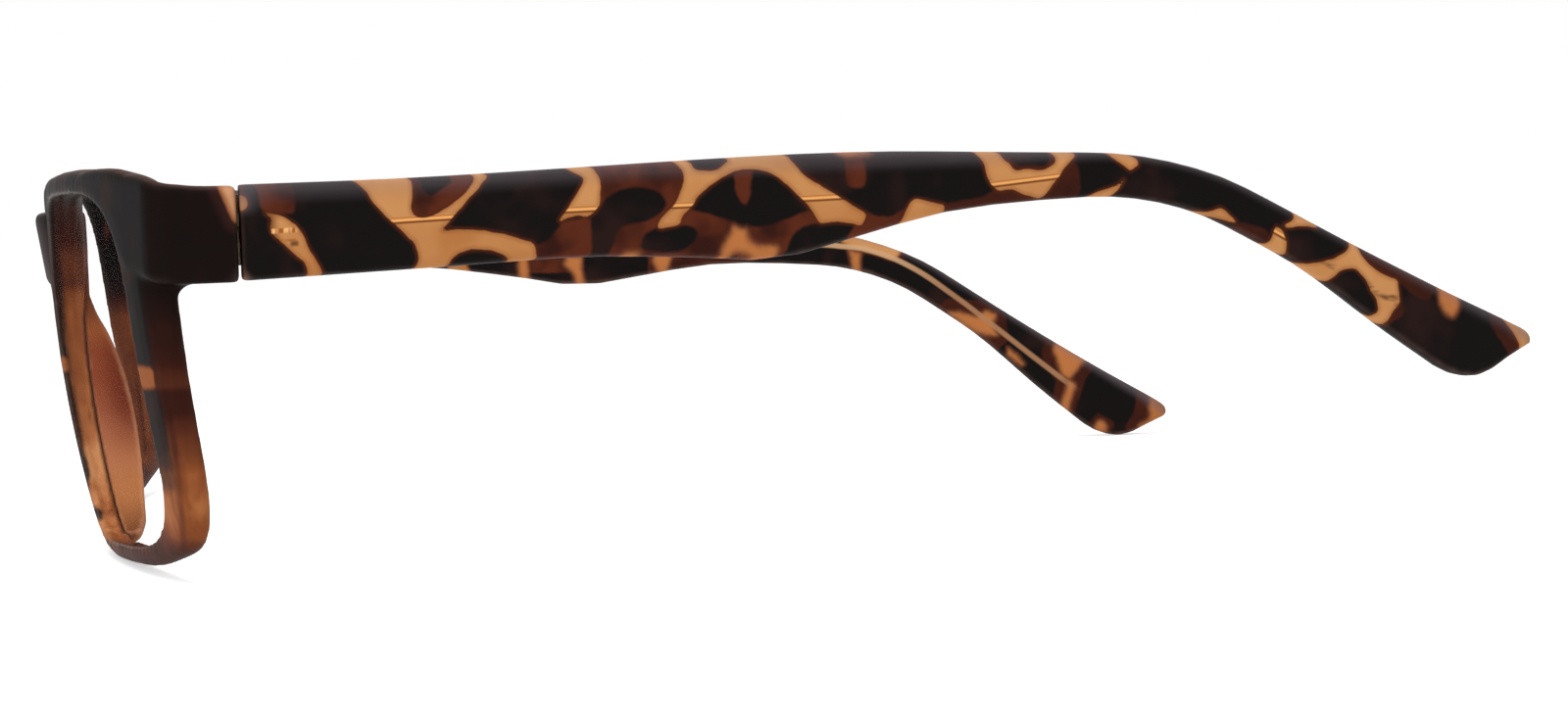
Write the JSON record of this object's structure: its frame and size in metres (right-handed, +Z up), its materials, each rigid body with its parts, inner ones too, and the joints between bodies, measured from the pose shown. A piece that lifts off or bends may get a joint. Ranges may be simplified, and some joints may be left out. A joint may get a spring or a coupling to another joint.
{
  "type": "square plastic eyeglasses",
  "caption": "Square full-rim tortoiseshell plastic eyeglasses with clear lenses, built-up nose pads and folding temples that droop to wide, angled tips.",
  "frame": {"origin": "middle of the open glasses' box, at the height of the table they stand on", "axes": "+X towards the wearer's left, +Y back along the temples, away from the lenses, +Z up"},
  "size_m": [0.136, 0.1624, 0.0438],
  "materials": {
    "tortoise_front": "smooth matte, dark brown with amber patches",
    "tortoise_temple": "smooth matte, amber with dark brown patches",
    "pad_plastic": "smooth, translucent warm brown",
    "clear_lens": "polished, clear",
    "hinge_metal": "plain stamped metal",
    "core_metal": "drawn wire",
    "screw_steel": "turned, slotted head"
  },
  "bodies": {
    "front": {"front_frame": "tortoise_front", "lens_left": "clear_lens", "lens_right": "clear_lens", "nose_pad_left": "pad_plastic", "nose_pad_right": "pad_plastic", "front_hinge_left": "hinge_metal", "front_hinge_right": "hinge_metal", "hinge_screw_left": "screw_steel", "hinge_screw_right": "screw_steel"},
    "left_arm": {"temple_left": "tortoise_temple", "core_wire_left": "core_metal", "temple_hinge_left": "hinge_metal"},
    "right_arm": {"temple_right": "tortoise_temple", "core_wire_right": "core_metal", "temple_hinge_right": "hinge_metal"}
  },
  "joints": [
    {"name": "left_fold", "type": "hinge", "parent": "front", "child": "left_arm", "pos_m": [0.06205, -0.0611, 0.03644], "axis": [0, -0.0449, 0.999], "range_deg": [0, 91.5]},
    {"name": "right_fold", "type": "hinge", "parent": "front", "child": "right_arm", "pos_m": [-0.06205, -0.0611, 0.03644], "axis": [0, -0.065, -0.9979], "range_deg": [0, 83]}
  ]
}
